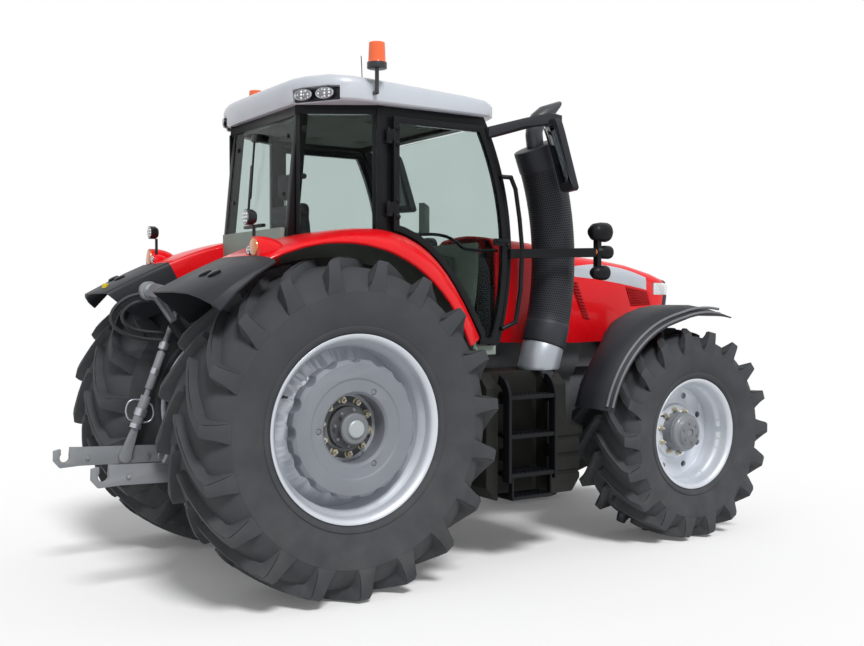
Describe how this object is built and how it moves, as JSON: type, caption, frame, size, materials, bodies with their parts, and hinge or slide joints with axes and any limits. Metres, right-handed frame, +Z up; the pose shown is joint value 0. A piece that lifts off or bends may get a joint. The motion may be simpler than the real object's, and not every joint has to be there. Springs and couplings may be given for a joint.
{
  "type": "farm tractor",
  "caption": "Four-wheel-drive farm tractor with closed cab, front fenders, stack exhaust and three-point rear hitch; wheels, steering, doors, bonnet and hitch move.",
  "frame": {"origin": "bottom centre of the bounding box, on the ground between the axles", "axes": "+X forward, +Y to the left, +Z up"},
  "size_m": [4.9996, 2.5, 3.3597],
  "materials": {
    "cast": "satin",
    "iron": "satin",
    "black_metal": "satin",
    "black_plastic": "matte",
    "tank_plastic": "matte",
    "red_paint": "gloss",
    "roof_grey": "satin",
    "tyre": "matte",
    "rim": "satin",
    "glass": "gloss",
    "lamp": "gloss",
    "amber": "gloss",
    "steel": "satin",
    "seat": "matte",
    "shield": "matte",
    "lens": "gloss"
  },
  "bodies": {
    "chassis": {"transmission": "cast", "rear_axle": "cast", "engine": "cast", "front_support": "cast", "front_axle": "cast", "hitch_frame": "cast", "right_tank": "tank_plastic", "left_box": "tank_plastic", "steps": "black_metal", "cowl": "black_plastic", "cab_floor": "black_plastic", "cab_frame": "black_metal", "windscreen": "glass", "cab_glass": "glass", "roof": "roof_grey", "work_lamps": "lamp", "beacons": "amber", "rear_fenders": "red_paint", "fender_extensions": "black_plastic", "exhaust_shield": "shield", "exhaust_pipe": "steel", "seat": "seat", "steering_column": "black_plastic", "side_console": "black_plastic", "mirrors": "black_plastic", "cab_rails": "black_metal"},
    "rear_wheel_left": {"rear_tyre_left": "tyre", "rear_rim_left": "rim", "wheel_weight_left": "iron"},
    "rear_wheel_right": {"rear_tyre_right": "tyre", "rear_rim_right": "rim", "wheel_weight_right": "iron"},
    "front_wheel_left": {"front_tyre_left": "tyre", "front_rim_left": "rim"},
    "front_wheel_right": {"front_tyre_right": "tyre", "front_rim_right": "rim"},
    "knuckle_left": {"knuckle_left": "cast", "front_fender_left": "black_plastic"},
    "knuckle_right": {"knuckle_right": "cast", "front_fender_right": "black_plastic"},
    "tie_rod": {"tie_rod": "cast"},
    "door_left": {"door_frame_left": "black_metal", "door_glass_left": "glass"},
    "door_right": {"door_frame_right": "black_metal", "door_glass_right": "glass"},
    "bonnet": {"bonnet": "red_paint", "grille": "black_plastic", "head_lamps": "lens"},
    "lift_arms": {"lift_arms": "iron"},
    "lift_rods": {"lift_rods": "iron"},
    "lower_links": {"lower_links": "iron"},
    "lift_cylinders": {"lift_cylinders": "black_metal"},
    "lift_pistons": {"lift_pistons": "steel"}
  },
  "joints": [
    {"name": "rear_wheel_left_turn", "type": "hinge", "parent": "chassis", "child": "rear_wheel_left", "pos_m": [-1.17, 0.895, 1.015], "axis": [0, 1, 0], "continuous": true},
    {"name": "steer_left", "type": "hinge", "parent": "chassis", "child": "knuckle_left", "pos_m": [1.72, 0.7, 0.78], "axis": [0, 0, 1], "range_deg": [-35, 35]},
    {"name": "front_wheel_left_turn", "type": "hinge", "parent": "knuckle_left", "child": "front_wheel_left", "pos_m": [1.72, 0.905, 0.78], "axis": [0, 1, 0], "continuous": true},
    {"name": "door_left", "type": "hinge", "parent": "chassis", "child": "door_left", "pos_m": [-0.74, 0.83, 2.5], "axis": [0, 0, 1], "range_deg": [0, 75]},
    {"name": "rear_wheel_right_turn", "type": "hinge", "parent": "chassis", "child": "rear_wheel_right", "pos_m": [-1.17, -0.895, 1.015], "axis": [0, 1, 0], "continuous": true},
    {"name": "steer_right", "type": "hinge", "parent": "chassis", "child": "knuckle_right", "pos_m": [1.72, -0.7, 0.78], "axis": [0, 0, 1], "range_deg": [-35, 35]},
    {"name": "front_wheel_right_turn", "type": "hinge", "parent": "knuckle_right", "child": "front_wheel_right", "pos_m": [1.72, -0.905, 0.78], "axis": [0, 1, 0], "continuous": true},
    {"name": "door_right", "type": "hinge", "parent": "chassis", "child": "door_right", "pos_m": [-0.74, -0.83, 2.5], "axis": [0, 0, -1], "range_deg": [0, 75]},
    {"name": "tie_rod_turn", "type": "hinge", "parent": "knuckle_right", "child": "tie_rod", "pos_m": [1.52, -0.7, 0.57], "axis": [0, 0, 1], "range_deg": [-35, 35]},
    {"name": "bonnet_tilt", "type": "hinge", "parent": "chassis", "child": "bonnet", "pos_m": [0.47, 0, 2.1], "axis": [0, -1, 0], "range_deg": [0, 45]},
    {"name": "hitch_lift", "type": "hinge", "parent": "chassis", "child": "lift_arms", "pos_m": [-1.46, 0, 1.712], "axis": [0, 1, 0], "range_deg": [-30, 30]},
    {"name": "lift_rod_swing", "type": "hinge", "parent": "lift_arms", "child": "lift_rods", "pos_m": [-1.664, 0, 1.774], "axis": [0, 1, 0], "range_deg": [-28.78, 28.78]},
    {"name": "lower_link_lift", "type": "hinge", "parent": "chassis", "child": "lower_links", "pos_m": [-1.42, 0, 0.7], "axis": [0, 1, 0], "range_deg": [-10.56, 10.56]},
    {"name": "lift_cylinder_swing", "type": "hinge", "parent": "chassis", "child": "lift_cylinders", "pos_m": [-1.44, 0, 1.17], "axis": [0, 1, 0], "range_deg": [-13.39, 13.39]},
    {"name": "lift_piston_stroke", "type": "slide", "parent": "lift_cylinders", "child": "lift_pistons", "axis": [-0.569, 0, 0.8224], "range_m": [-0.1527, 0.1527]}
  ],
  "couplings": [
    {"joint": "steer_left", "follows": "steer_right", "ratio": 1},
    {"joint": "tie_rod_turn", "follows": "steer_right", "ratio": -1},
    {"joint": "lift_rod_swing", "follows": "hitch_lift", "ratio": -0.9526},
    {"joint": "lower_link_lift", "follows": "hitch_lift", "ratio": 0.3452},
    {"joint": "lift_cylinder_swing", "follows": "hitch_lift", "ratio": 0.4396},
    {"joint": "lift_piston_stroke", "follows": "hitch_lift", "m_per_rad": 0.2897}
  ]
}
